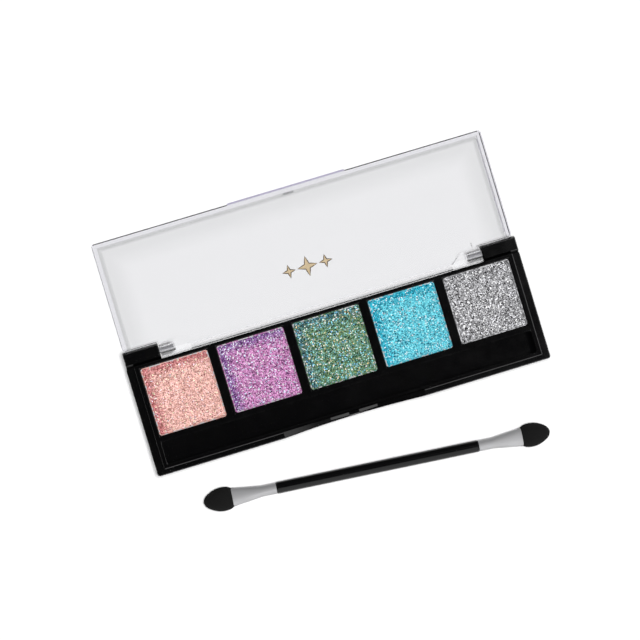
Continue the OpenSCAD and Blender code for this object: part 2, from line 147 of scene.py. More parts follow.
class PaletteGlitter(bpy.types.PropertyGroup):
    """Flakes and colours of the five cakes."""

    flake: length("Flake", "Size of the fine flakes", 0.20 * MM)
    spark: length("Spark", "Size of the flakes that flash or stay dark", 0.29 * MM)
    grain: length("Grain", "Size of the lumps in the cakes' surface", 0.40 * MM)
    relief: length("Relief", "Depth of the lumps in the cakes' surface", 0.05 * MM)
    cuts: IntProperty(
        name="Cuts",
        description="Cuts along each side of a cake's top",
        default=100,
        min=10,
    )
    tilt: share("Tilt", "How far the flakes lean from the surface", 0.45)
    dust: share("Dust", "Share of each pan's metal that loose powder covers", 0.6)
    metal: share("Metal", "How metallic the flakes are", 0.55)
    gloss: share("Flake roughness", "Roughness of each flake", 0.22)
    # Painted shade: width of the darker band along each cake's left and back edges, where a
    # few more flakes also flash
    rim: length("Darker rim", "Width of the denser powder at the pan's edge", 3.4 * MM)
    rim_flash: share("Rim flashes", "Share of flashing flakes added in the rim", 0.03)


class PaletteStudio(bpy.types.PropertyGroup):
    """Camera, lights and table."""

    distance: length("Distance", "From the middle of the view to the camera", 800 * MM)
    lens: FloatProperty(name="Lens", description="Focal length in mm", default=153.26)
    middle: FloatVectorProperty(
        name="Middle",
        description="Point on the table that the camera looks at",
        default=(-1.42 * MM, 11.37 * MM, 0.0),
        unit="LENGTH",
        size=3,
    )
    turn: FloatVectorProperty(
        name="Turn",
        description="Turn of the camera, from looking straight down",
        default=(math.radians(1.05), math.radians(-4.228), math.radians(-16.792)),
        subtype="EULER",
        size=3,
    )
    key: share("Overhead box", "Strength of the soft box overhead in watts", 11.6, 500.0)
    key_size: length("Overhead box size", "Side of the soft box overhead", 300 * MM)
    dome: share("Dome", "Strength of the white dome that shiny parts mirror", 1.5, 10.0)
    dusk: share("Dusk", "Share of the dome's light at the back and left", 0.06)
    hood: share("Hood", "Share of the dome's light that the dark hood overhead gives", 0.02)
    hood_lean: angle("Hood lean", "How far the hood's middle leans to the left", 8)
    hood_edge: angle("Hood edge", "Half the angle that the hood takes up", 19)
    table: tint("Table", "Colour of the table", (0.95, 0.95, 0.95))


# ---------- modelling helpers ----------


# A face counts as level when the Z of its normal is beyond this
LEVEL = 0.9


def leave_edit():
    """Goes back to object mode."""
    bpy.ops.object.mode_set(mode="OBJECT")


def only(piece=None):
    """Leaves nothing selected but this piece, in object mode."""
    if bpy.context.object and bpy.context.object.mode != "OBJECT":
        leave_edit()
    bpy.ops.object.select_all(action="DESELECT")
    if piece is not None:
        piece.select_set(True)
        bpy.context.view_layer.objects.active = piece


def new_piece(name):
    """The primitive that was just added, under its own name."""
    piece = bpy.context.object
    piece.name = name
    piece.data.name = name
    return piece


def settle(piece):
    """Puts a piece's place, turn and size into its mesh."""
    only(piece)
    bpy.ops.object.transform_apply(location=True, rotation=True, scale=True)


def pick(piece, kind, test):
    """Selects the vertices or polygons that pass the test and goes into edit mode."""
    only(piece)
    mesh = piece.data
    for parts in (mesh.vertices, mesh.edges, mesh.polygons):
        parts.foreach_set("select", [False] * len(parts))
    for part in getattr(mesh, kind):
        part.select = test(part)
    faces = kind == "polygons"
    bpy.context.tool_settings.mesh_select_mode = (not faces, False, faces)
    bpy.ops.object.mode_set(mode="EDIT")


def modify(piece, kind, **settings):
    """Adds a modifier, sets it and applies it."""
    only(piece)
    modifier = piece.modifiers.new(kind.title(), kind)
    for name, value in settings.items():
        setattr(modifier, name, value)
    bpy.ops.object.modifier_apply(modifier=modifier.name)


def smooth(piece, degrees):
    """Smooth shading, with edges sharper than the angle kept."""
    only(piece)
    bpy.ops.object.shade_smooth_by_angle(angle=math.radians(degrees))


# ---------- material helpers ----------


def blank(name):
    """A new material: itself, its node tree and its Principled shader."""
    material = bpy.data.materials.new(name)
    material.use_nodes = True
    return material, material.node_tree, material.node_tree.nodes["Principled BSDF"]


def set_inputs(made, sockets):
    """Sets a node's inputs, whose names have an underscore for each blank."""
    for name, value in sockets.items():
        made.inputs[name.replace("_", " ")].default_value = value


def node(tree, kind, **sockets):
    """A new node, with values for its inputs."""
    made = tree.nodes.new(kind)
    set_inputs(made, sockets)
    return made


def feed(tree, slots, values):
    """Fills inputs in order, each from a plain value or a socket."""
    for slot, value in zip(slots, values):
        if isinstance(value, bpy.types.NodeSocket):
            tree.links.new(value, slot)
        else:
            slot.default_value = value


def maths(tree, operation, *values):
    """A Math node. Each value is a number or a socket."""
    made = tree.nodes.new("ShaderNodeMath")
    made.operation = operation
    feed(tree, made.inputs, values)
    return made.outputs[0]


def vectors(tree, operation, *values):
    """A Vector Math node. Each value is a vector or a socket."""
    made = tree.nodes.new("ShaderNodeVectorMath")
    made.operation = operation
    feed(tree, made.inputs, values)
    return made.outputs["Value" if operation == "DOT_PRODUCT" else "Vector"]


def opaque(colour):
    """A colour with full alpha."""
    return (*colour, 1.0)


def ramp(tree, factor, stops):
    """A colour ramp over stops of (place, colour)."""
    made = tree.nodes.new("ShaderNodeValToRGB")
    elements = made.color_ramp.elements
    while len(elements) < len(stops):
        elements.new(0.5)
    for element, (place, colour) in zip(elements, stops):
        element.position = place
        element.color = opaque(colour)
    tree.links.new(factor, made.inputs["Fac"])
    return made.outputs["Color"]


def blend_colours(tree, factor, first, second):
    """Mixes two colours, each a socket or a plain colour."""
    made = tree.nodes.new("ShaderNodeMix")
    made.data_type = "RGBA"
    tree.links.new(factor, made.inputs["Factor"])
    for slot, value in ((made.inputs[6], first), (made.inputs[7], second)):
        is_socket = isinstance(value, bpy.types.NodeSocket)
        feed(tree, [slot], [value if is_socket else opaque(value)])
    return made.outputs[2]


def new_group(name, inputs, outputs):
    """A node group: number inputs (name, default) and outputs (name, socket type)."""
    group = bpy.data.node_groups.new(name, "ShaderNodeTree")
    for label, default in inputs:
        made = group.interface.new_socket(
            name=label, in_out="INPUT", socket_type="NodeSocketFloat"
        )
        made.default_value = default
    for label, kind in outputs:
        group.interface.new_socket(name=label, in_out="OUTPUT", socket_type=kind)
    return group, group.nodes.new("NodeGroupInput"), group.nodes.new("NodeGroupOutput")


def place_group(tree, group, **sockets):
    """Places a group in a material, with values for its inputs."""
    made = tree.nodes.new("ShaderNodeGroup")
    made.node_tree = group
    set_inputs(made, sockets)
    return made


def coordinates(tree, kind="Object"):
    """The place of the point that is shaded, or the direction of sight."""
    return tree.nodes.new("ShaderNodeTexCoord").outputs[kind]


def split(tree, kind, source):
    """The parts of a colour or a vector, as outputs by name."""
    made = tree.nodes.new(kind)
    tree.links.new(source, made.inputs[0])
    return made.outputs


def handling_group():
    """Fine haze and waviness of a moulded or polished surface."""
    group, given, made = new_group(
        "Handling",
        [("Low", 0.1), ("High", 0.2), ("Size", 4 * MM)],
        [("Roughness", "NodeSocketFloat"), ("Height", "NodeSocketFloat")],
    )
    haze = node(group, "ShaderNodeTexNoise", Detail=3.0)
    group.links.new(coordinates(group), haze.inputs["Vector"])
    group.links.new(maths(group, "DIVIDE", 1.0, given.outputs["Size"]), haze.inputs["Scale"])
    spread = node(group, "ShaderNodeMapRange", From_Min=0.35, From_Max=0.65)
    group.links.new(haze.outputs["Fac"], spread.inputs["Value"])
    group.links.new(given.outputs["Low"], spread.inputs["To Min"])
    group.links.new(given.outputs["High"], spread.inputs["To Max"])
    group.links.new(spread.outputs["Result"], made.inputs["Roughness"])
    group.links.new(haze.outputs["Fac"], made.inputs["Height"])
    return group


def flake_group():
    """Fine flakes that lie at random angles, and larger ones for sparks and specks."""
    group, given, made = new_group(
        "Flakes",
        [("Size", 0.2 * MM), ("Spark Size", 0.4 * MM), ("Tilt", 0.3)],
        [
            ("Chance", "NodeSocketFloat"),
            ("Spark", "NodeSocketFloat"),
            ("Hue", "NodeSocketFloat"),
            ("Normal", "NodeSocketVector"),
        ],
    )
    place = coordinates(group)
    cells = []
    for size in ("Size", "Spark Size"):
        cell = node(group, "ShaderNodeTexVoronoi", Randomness=1.0)
        scale = maths(group, "DIVIDE", 1.0, given.outputs[size])
        group.links.new(place, cell.inputs["Vector"])
        group.links.new(scale, cell.inputs["Scale"])
        cells.append(cell.outputs["Color"])
    fine = split(group, "ShaderNodeSeparateColor", cells[0])
    large = split(group, "ShaderNodeSeparateColor", cells[1])
    leaning = group.nodes.new("ShaderNodeVectorMath")
    leaning.operation = "SCALE"
    lean = vectors(group, "SUBTRACT", cells[0], (0.5, 0.5, 0.5))
    reach = maths(group, "MULTIPLY", given.outputs["Tilt"], 2.0)
    group.links.new(lean, leaning.inputs[0])
    group.links.new(reach, leaning.inputs["Scale"])
    surface = group.nodes.new("ShaderNodeNewGeometry").outputs["Normal"]
    facing = vectors(group, "NORMALIZE", vectors(group, "ADD", surface, leaning.outputs[0]))
    for name, source in (
        ("Chance", fine["Red"]),
        ("Spark", large["Red"]),
        ("Hue", large["Green"]),
        ("Normal", facing),
    ):
        group.links.new(source, made.inputs[name])
    return group


def rim_shade_group():
    """Mask of the painted shade along a cake's left and back edges, where its colour is
    darker.
    """
    group, given, made = new_group(
        "Rim",
        [("Left", 0.0), ("Back", 0.0), ("Width", 3 * MM)],
        [("Mask", "NodeSocketFloat")],
    )
    place = coordinates(group)
    along = split(group, "ShaderNodeSeparateXYZ", place)
    wobble = node(group, "ShaderNodeTexNoise", Scale=600.0, Detail=3.0)
    group.links.new(place, wobble.inputs["Vector"])
    from_left = maths(group, "SUBTRACT", along["X"], given.outputs["Left"])
    from_back = maths(group, "SUBTRACT", given.outputs["Back"], along["Y"])
    near = maths(group, "MINIMUM", from_left, from_back)
    reach = maths(group, "DIVIDE", near, given.outputs["Width"])
    rough = maths(group, "ADD", reach, maths(group, "SUBTRACT", wobble.outputs["Fac"], 0.5))
    fade = node(
        group, "ShaderNodeMapRange", From_Min=0.0, From_Max=1.2, To_Min=1.0, To_Max=0.0
    )
    fade.interpolation_type = "SMOOTHSTEP"
    group.links.new(rough, fade.inputs["Value"])
    group.links.new(fade.outputs["Result"], made.inputs["Mask"])
    return group


def inward_group():
    """How far a point of the cover lies in from its nearest outer face."""
    group, given, made = new_group(
        "Inward",
        [("Left", 0.0), ("Right", 0.0), ("Far", 0.0)],
        [("Inward", "NodeSocketFloat")],
    )
    along = split(group, "ShaderNodeSeparateXYZ", coordinates(group))
    from_left = maths(group, "SUBTRACT", along["X"], given.outputs["Left"])
    from_right = maths(group, "SUBTRACT", given.outputs["Right"], along["X"])
    from_far = maths(group, "SUBTRACT", given.outputs["Far"], along["Y"])
    beside = maths(group, "MINIMUM", from_left, from_right)
    group.links.new(maths(group, "MINIMUM", beside, from_far), made.inputs["Inward"])
    return group


def shared(name, build):
    """A node group, built the first time that it is asked for."""
    return bpy.data.node_groups.get(name) or build()


def soft_step(tree, source, none, full):
    """From nought, where the source is at none, to one, where it is at full."""
    made = node(tree, "ShaderNodeMapRange", From_Min=none, From_Max=full)
    tree.links.new(source, made.inputs["Value"])
    return made.outputs["Result"]


def polished(name, colour, low, high, wave, **sockets):
    """A moulded or polished surface: roughness from low to high, and waviness."""
    material, tree, shader = blank(name)
    set_inputs(shader, {"Base Color": opaque(colour), **sockets})
    haze = place_group(tree, shared("Handling", handling_group), Low=low, High=high)
    tree.links.new(haze.outputs["Roughness"], shader.inputs["Roughness"])
    bump = node(tree, "ShaderNodeBump", Strength=wave, Distance=0.02 * MM)
    tree.links.new(haze.outputs["Height"], bump.inputs["Height"])
    tree.links.new(bump.outputs["Normal"], shader.inputs["Normal"])
    return material


def dress(piece, material):
    """Gives a piece its finish."""
    piece.data.materials.clear()
    piece.data.materials.append(material)


def paint(name, material):
    """Gives a CAD node its finish."""
    dress(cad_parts[name], material)


# ---------- case, cover and pans ----------


# Painted shade of the cover, by how far a point lies in from its outer faces: a painted
# violet edge line, a darker wall band, a painted shadow at the walls' root, then painted
# shade that fades to the plain clear tint
COVER_FADE = 9 * MM
COVER_PAINTED_SHADE = (
    (0.0, "painted_edge_line"),
    (0.2 * MM, "painted_wall_band"),
    (1.2 * MM, "painted_wall_band"),
    (1.5 * MM, "painted_root_shadow"),
    (2.0 * MM, "painted_root_shadow"),
    (2.7 * MM, "painted_wall_shade"),
    (3.8 * MM, "painted_wall_shade"),
    (COVER_FADE, "clear"),
)
THUMB_LIP = 0.5 * MM
PLASTIC_IOR = 1.53
CLEAR_IOR = 1.49
HAZE = 0.05
TRAY_GLOSSIER = 0.02
STEEL = (0.5, 0.5, 0.52)
GLUE = (0.62, 0.55, 0.36)


class PALETTE_OT_case(bpy.types.Operator):
    """Finish the case and its tray in glossy black plastic"""

    bl_idname = "palette.case"
    bl_label = "Case"

    def execute(self, context):
        body = context.scene.palette_body
        for node_name, name, low, wave in (
            ("base_shell", "Body black", body.black_gloss, 0.1),
            ("inner_tray", "Tray black", body.black_gloss - TRAY_GLOSSIER, 0.06),
        ):
            high = low + HAZE
            paint(node_name, polished(name, body.black, low, high, wave, IOR=PLASTIC_IOR))
        return {"FINISHED"}


def let_light_through(tree, shader, colour):
    """Lets light pass a clear piece on its way to what lies under it."""
    rays = tree.nodes.new("ShaderNodeLightPath")
    passing = node(tree, "ShaderNodeBsdfTransparent", Color=opaque(colour))
    mixed = tree.nodes.new("ShaderNodeMixShader")
    which = maths(
        tree, "MAXIMUM", rays.outputs["Is Shadow Ray"], rays.outputs["Is Diffuse Ray"]
    )
    tree.links.new(which, mixed.inputs["Fac"])
    tree.links.new(shader.outputs["BSDF"], mixed.inputs[1])
    tree.links.new(passing.outputs["BSDF"], mixed.inputs[2])
    tree.links.new(mixed.outputs["Shader"], tree.nodes["Material Output"].inputs["Surface"])


class PALETTE_OT_cover(bpy.types.Operator):
    """Finish the clear cover and its two steel pins"""

    bl_idname = "palette.cover"
    bl_label = "Cover"

    def execute(self, context):
        body = context.scene.palette_body
        material, tree, shader = blank("Clear styrene")
        low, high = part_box("lid_cover")
        edge = place_group(
            tree,
            shared("Inward", inward_group),
            Left=low.x,
            Right=high.x,
            Far=high.y - THUMB_LIP,
        )
        share_in = maths(tree, "DIVIDE", edge.outputs["Inward"], COVER_FADE)
        stops = [(reach / COVER_FADE, getattr(body, name)) for reach, name in COVER_PAINTED_SHADE]
        # The cover's base colour carries painted shade and painted refraction lines along
        # its walls
        tree.links.new(ramp(tree, share_in, stops), shader.inputs["Base Color"])
        shader.inputs["Roughness"].default_value = body.clear_gloss
        shader.inputs["IOR"].default_value = CLEAR_IOR
        shader.inputs["Transmission Weight"].default_value = 1.0
        let_light_through(tree, shader, body.clear)
        paint("lid_cover", material)
        steel = polished("Pin steel", STEEL, low=0.34, high=0.46, wave=0.2, Metallic=0.6)
        for side in SIDES:
            paint(f"hinge_pin_{side}", steel)
        return {"FINISHED"}


DUST_FADE = 0.1


def dust_over(material, bare, settings, looks):
    """Lets loose powder lie on a pan's bare metal."""
    tree = material.node_tree
    shader = tree.nodes["Principled BSDF"]
    flakes = place_group(
        tree,
        shared("Flakes", flake_group),
        Size=settings.spark,
        Spark_Size=2 * settings.spark,
    )
    powder = ramp(tree, flakes.outputs["Chance"], looks["open"])
    share_bare = settings.dust + DUST_FADE
    dust = soft_step(tree, flakes.outputs["Spark"], share_bare, settings.dust)
    colour = blend_colours(tree, dust, bare, powder)
    tree.links.new(colour, shader.inputs["Base Color"])


class PALETTE_OT_pans(bpy.types.Operator):
    """Finish the stamped pans and the glue under them"""

    bl_idname = "palette.pans"
    bl_label = "Pans"

    def execute(self, context):
        body = context.scene.palette_body
        settings = context.scene.palette_glitter
        for shade in SHADES:
            metal = polished(
                f"Pan {shade}", body.pan_metal, low=0.42, high=0.56, wave=0.3, Metallic=0.7
            )
            dust_over(metal, body.pan_metal, settings, GLITTERS[shade])
            paint(f"pan_{shade}", metal)
        paint("pan_glue", polished("Glue", GLUE, low=0.3, high=0.45, wave=0.4))
        return {"FINISHED"}


# ---------- powder cakes ----------


# Eased edge of a cake, share of the relief that reaches it, and how softly one kind of
# flake gives way to the next
EASE = 0.06 * MM
EDGE_RELIEF = 0.3
STEP_WIDTH = 0.03


def cake_form(name, low, high, settings):
    """One cake: a block with eased edges and a fine rough top."""
    wide = high.x - low.x
    deep = high.z - low.z
    middle = (low + high) / 2
    only()
    bpy.ops.mesh.primitive_cube_add(size=1.0, location=middle)
    cake = new_piece(name)
    cake.scale = (wide, high.y - low.y, deep)
    settle(cake)
    pick(cake, "polygons", lambda face: face.normal.z > LEVEL)
    bpy.ops.mesh.subdivide(number_cuts=settings.cuts)
    leave_edit()
    grain = bpy.data.textures.new(name + "_grain", "VORONOI")
    grain.noise_scale = settings.grain
    top = cake.vertex_groups.new(name="top")
    reach = wide / 2 - EASE

    def at_edge(corner):
        place = corner.co - middle
        return max(abs(place.x), abs(place.y)) > reach

    for corner in cake.data.vertices:
        if corner.co.z > high.z - EASE:
            top.add([corner.index], EDGE_RELIEF if at_edge(corner) else 1.0, "REPLACE")
    modify(
        cake,
        "DISPLACE",
        texture=grain,
        texture_coords="LOCAL",
        direction="Z",
        vertex_group="top",
        strength=settings.relief,
        mid_level=1.0,
    )
    pick(
        cake,
        "vertices",
        lambda corner: corner.co.z > low.z + deep / 2 and at_edge(corner),
    )
    bpy.ops.transform.translate(value=(0, 0, -EASE))
    leave_edit()
    return cake


def glitter(name, corner, settings, looks):
    """Pressed glitter: fine flakes of one tint, with flashing and dark ones between, and
    painted shade darkening its left and back edges.
    """
    material, tree, shader = blank(name)
    flakes = place_group(
        tree,
        shared("Flakes", flake_group),
        Size=settings.flake,
        Spark_Size=settings.spark,
        Tilt=settings.tilt,
    )
    edge = place_group(
        tree,
        shared("Rim", rim_shade_group),
        Left=corner[0],
        Back=corner[1],
        Width=settings.rim,
    )
    rim_shade_mask, chance = edge.outputs["Mask"], flakes.outputs["Chance"]
    spark = flakes.outputs["Spark"]
    open_colour = ramp(tree, chance, looks["open"])
    rim_shade_colour = ramp(tree, chance, looks["rim"])
    # Painted shade: the darker rim ramp takes over along the left and back edges
    colour = blend_colours(tree, rim_shade_mask, open_colour, rim_shade_colour)
    dull = looks["dull"]
    speck = soft_step(tree, spark, dull, dull - STEP_WIDTH)
    colour = blend_colours(tree, speck, colour, looks["speck"])
    more = maths(tree, "MULTIPLY_ADD", rim_shade_mask, settings.rim_flash, spark)
    first = 1.0 - looks["bright"]
    flash = soft_step(tree, more, first, first + STEP_WIDTH)
    flashing = ramp(tree, flakes.outputs["Hue"], looks["flash"])
    colour = blend_colours(tree, flash, colour, flashing)
    tree.links.new(colour, shader.inputs["Base Color"])
    tree.links.new(flakes.outputs["Normal"], shader.inputs["Normal"])
    shader.inputs["Metallic"].default_value = settings.metal
    shader.inputs["Roughness"].default_value = settings.gloss
    return material


# Colours of each cake in linear light. open and rim: ramps over a flake's chance, in the
# open and along the left and back edges, where the rim ramp is darker as painted shade.
# flash: ramp over a flashing flake's hue. speck: colour of the dark flakes. dull and bright:
# shares of dark and of flashing flakes.
GLITTERS = {
    "rose": {
        "open": [
            (0.0, (0.77, 0.38, 0.34)),
            (0.3, (0.88, 0.47, 0.37)),
            (0.7, (0.97, 0.54, 0.53)),
            (1.0, (1.0, 0.66, 0.56)),
        ],
        "rim": [
            (0.0, (0.33, 0.08, 0.09)),
            (0.5, (0.57, 0.17, 0.17)),
            (1.0, (0.80, 0.33, 0.35)),
        ],
        "speck": (0.42, 0.17, 0.15),
        "dull": 0.05,
        "flash": [
            (0.2, (1.0, 0.80, 0.94)),
            (0.6, (1.0, 0.91, 0.64)),
        ],
        "bright": 0.08,
    },
    "lilac": {
        "open": [
            (0.0, (0.36, 0.11, 0.31)),
            (0.5, (0.58, 0.22, 0.48)),
            (1.0, (0.80, 0.38, 0.70)),
        ],
        "rim": [
            (0.0, (0.08, 0.02, 0.14)),
            (0.5, (0.22, 0.08, 0.29)),
            (1.0, (0.36, 0.20, 0.51)),
        ],
        "speck": (0.08, 0.02, 0.10),
        "dull": 0.11,
        "flash": [
            (0.2, (0.66, 0.76, 1.0)),
            (0.6, (0.98, 0.94, 1.0)),
        ],
        "bright": 0.14,
    },
    "green": {
        "open": [
            (0.0, (0.03, 0.11, 0.05)),
            (0.4, (0.10, 0.26, 0.15)),
            (0.65, (0.27, 0.33, 0.09)),
            (0.8, (0.10, 0.31, 0.30)),
            (1.0, (0.24, 0.48, 0.40)),
        ],
        "rim": [
            (0.0, (0.005, 0.04, 0.06)),
            (0.4, (0.02, 0.13, 0.16)),
            (0.65, (0.18, 0.18, 0.05)),
            (0.8, (0.03, 0.19, 0.30)),
            (1.0, (0.12, 0.30, 0.38)),
        ],
        "speck": (0.006, 0.025, 0.014),
        "dull": 0.14,
        "flash": [
            (0.1, (0.20, 0.52, 0.96)),
            (0.35, (0.34, 0.98, 0.94)),
            (0.6, (0.92, 1.0, 0.96)),
            (0.8, (1.0, 0.78, 0.34)),
            (0.95, (0.96, 0.92, 1.0)),
        ],
        "bright": 0.17,
    },
    "turquoise": {
        "open": [
            (0.0, (0.05, 0.38, 0.53)),
            (0.5, (0.12, 0.60, 0.73)),
            (1.0, (0.20, 0.80, 0.92)),
        ],
        "rim": [
            (0.0, (0.0, 0.20, 0.36)),
            (0.5, (0.005, 0.39, 0.54)),
            (1.0, (0.04, 0.56, 0.72)),
        ],
        "speck": (0.005, 0.14, 0.22),
        "dull": 0.09,
        "flash": [
            (0.3, (0.46, 0.98, 1.0)),
            (0.8, (0.90, 0.92, 1.0)),
        ],
        "bright": 0.11,
    },
    "silver": {
        "open": [
            (0.0, (0.14, 0.14, 0.145)),
            (0.5, (0.33, 0.33, 0.34)),
            (1.0, (0.54, 0.54, 0.56)),
        ],
        "rim": [
            (0.0, (0.08, 0.08, 0.085)),
            (0.5, (0.27, 0.27, 0.28)),
            (1.0, (0.54, 0.54, 0.56)),
        ],
        "speck": (0.015, 0.015, 0.016),
        "dull": 0.17,
        "flash": [
            (0.2, (0.94, 0.94, 1.0)),
            (0.8, (1.0, 1.0, 1.0)),
        ],
        "bright": 0.19,
    },
}


class PALETTE_OT_cakes(bpy.types.Operator):
    """Press the five cakes of glitter into their pans"""

    bl_idname = "palette.cakes"
    bl_label = "Cakes"

    def execute(self, context):
        settings = context.scene.palette_glitter
        for shade in SHADES:
            low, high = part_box(f"shade_{shade}")
            cake = cake_form(f"glitter_{shade}", low, high, settings)
            corner = (low.x, high.y)
            dress(cake, glitter(f"Glitter {shade}", corner, settings, GLITTERS[shade]))
            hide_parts(f"shade_{shade}")
            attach(cake, "base")
        return {"FINISHED"}


# ---------- foil motif on the cover ----------


# How far each fourth part of the circle's corners reaches, from a point to the next
STAR_SHAPE = (1.0, 0.52, 0.36, 0.52)
FOIL_THICK = 0.03 * MM
FOIL_DEPTH = 0.03 * MM
FOIL_EDGE = 0.26 * MM
MOTIF_LEFT = 0.45 * MM
MOTIF_FROM_HINGE = 13.4 * MM
# Place along X and size of each glint
GLINTS = ((-5.6 * MM, 4.2 * MM), (0.0, 6.2 * MM), (5.6 * MM, 4.2 * MM))


def star(name, place, size):
    """A glint: a star with four long points and a narrow edge, cut from foil."""
    only()
    bpy.ops.mesh.primitive_circle_add(
        vertices=16, radius=size / 2, fill_type="NGON", location=place
    )
    glint = new_piece(name)
    settle(glint)
    for number, reach in enumerate(STAR_SHAPE):
        pick(glint, "vertices", lambda corner: corner.index % 4 == number)
        bpy.ops.transform.resize(value=(reach, reach, 1.0), center_override=place)
        leave_edit()
    pick(glint, "polygons", lambda face: True)
    bpy.ops.mesh.extrude_region_move(TRANSFORM_OT_translate={"value": (0, 0, FOIL_THICK)})
    bpy.ops.mesh.select_all(action="SELECT")
    bpy.ops.mesh.normals_make_consistent(inside=False)
    leave_edit()
    pick(glint, "polygons", lambda face: abs(face.normal.z) > LEVEL)
    bpy.ops.mesh.inset(thickness=FOIL_EDGE, use_even_offset=False)
    leave_edit()
    for face in glint.data.polygons:
        face.material_index = 0 if len(face.vertices) > 4 else 1
    return glint


class PALETTE_OT_motif(bpy.types.Operator):
    """Lay a small foil motif of three glints on the cover"""

    bl_idname = "palette.motif"
    bl_label = "Foil motif"

    def execute(self, context):
        body = context.scene.palette_body
        low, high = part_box("lid_cover")
        middle = Vector(
            (
                (low.x + high.x) / 2 - MOTIF_LEFT,
                low.y + MOTIF_FROM_HINGE,
                low.z + FOIL_DEPTH,
            )
        )
        finishes = (
            polished("Gold foil", body.gold, low=0.35, high=0.5, wave=0.4, Metallic=0.6),
            polished("Gold edge", body.gold_edge, low=0.4, high=0.5, wave=0.2),
        )
        glints = []
        for number, (place, size) in enumerate(GLINTS):
            glint = star(f"glint_{number}", middle + Vector((place, 0, 0)), size)
            for finish in finishes:
                glint.data.materials.append(finish)
            glints.append(glint)
        only(glints[0])
        for glint in glints:
            glint.select_set(True)
        bpy.ops.object.join()
        motif = new_piece("lid_motif")
        settle(motif)
        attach(motif, "lid")
        return {"FINISHED"}


# ---------- applicator ----------


def applicator_axis():
    """The applicator's middle and its direction, from its two stiff cores."""
    ends = []
    for side in SIDES:
        low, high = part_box(f"tip_core_{side}")
        ends.append((low + high) / 2)
    return (ends[0] + ends[1]) / 2, (ends[1] - ends[0]).normalized()


def reach_along(name, middle, direction):
    """How far a CAD node reaches along a line, from low to high."""
    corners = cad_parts[name].data.vertices
    places = [(corner.co - middle).dot(direction) for corner in corners]
    return min(places), max(places)


# Rings of a foam tip: share of its length, then of its full width and thickness
FOAM_NECK = (0.76, 0.48)
FOAM_RINGS = (
    (0.02, 0.84, 0.74),
    (0.10, 0.93, 0.86),
    (0.22, 0.99, 0.96),
    (0.36, 1.00, 1.00),
    (0.52, 0.95, 0.97),
    (0.68, 0.81, 0.85),
    (0.82, 0.64, 0.68),
    (0.93, 0.43, 0.47),
    (0.985, 0.22, 0.25),
    (1.0, 0.02, 0.02),
)
FOAM_NECK_CLEAR = 0.3 * MM


def foam_tip(name, mouth, tip, wide, thick, neck):
    """A teardrop of foam along +X, drawn out ring by ring from its neck."""
    only()
    bpy.ops.mesh.primitive_circle_add(
        vertices=24, radius=0.5, fill_type="NGON", rotation=(0, math.radians(90), 0)
    )
    foam = new_piece(name)
    settle(foam)
    rings = [(-neck, *FOAM_NECK), (0.0, *FOAM_NECK)]
    rings += [(part * (tip - mouth), w, h) for part, w, h in FOAM_RINGS]
    at, width, height = rings[0][0], rings[0][1] * wide, rings[0][2] * thick
    pick(foam, "polygons", lambda face: True)
    bpy.ops.transform.resize(value=(1, width, height))
    bpy.ops.transform.translate(value=(mouth + at, 0, 0))
    for ring, w, h in rings[1:]:
        next_width, next_height = w * wide, h * thick
        bpy.ops.mesh.extrude_region_move(
            TRANSFORM_OT_translate={"value": (ring - at, 0, 0)}
        )
        bpy.ops.transform.resize(
            value=(1, next_width / width, next_height / height),
            center_override=(mouth + ring, 0, 0),
        )
        at, width, height = ring, next_width, next_height
    bpy.ops.mesh.select_all(action="SELECT")
    bpy.ops.mesh.remove_doubles(threshold=0.001 * MM)
    bpy.ops.mesh.normals_make_consistent(inside=False)
    leave_edit()
    modify(foam, "SUBSURF", levels=3, render_levels=3)
    pores = bpy.data.textures.new(name + "_pores", "CLOUDS")
    pores.noise_scale = 0.35 * MM
    pores.noise_depth = 2
    modify(
        foam,
        "DISPLACE",
        texture=pores,
        texture_coords="LOCAL",
        strength=0.06 * MM,
        mid_level=0.9,
    )
    return foam


def foam_material(colour):
    """Open black foam: matt, with fine pores."""
    material, tree, shader = blank("Foam black")
    shader.inputs["Base Color"].default_value = opaque(colour)
    shader.inputs["Roughness"].default_value = 0.95
    shader.inputs["Specular IOR Level"].default_value = 0.25
    pores = node(tree, "ShaderNodeTexVoronoi", Scale=5200.0)
    tree.links.new(coordinates(tree), pores.inputs["Vector"])
    bump = node(tree, "ShaderNodeBump", Strength=0.6, Distance=0.08 * MM)
    tree.links.new(pores.outputs["Distance"], bump.inputs["Height"])
    tree.links.new(bump.outputs["Normal"], shader.inputs["Normal"])
    return material


HANDLE_IOR = 1.36
CORE = (0.78, 0.77, 0.72)


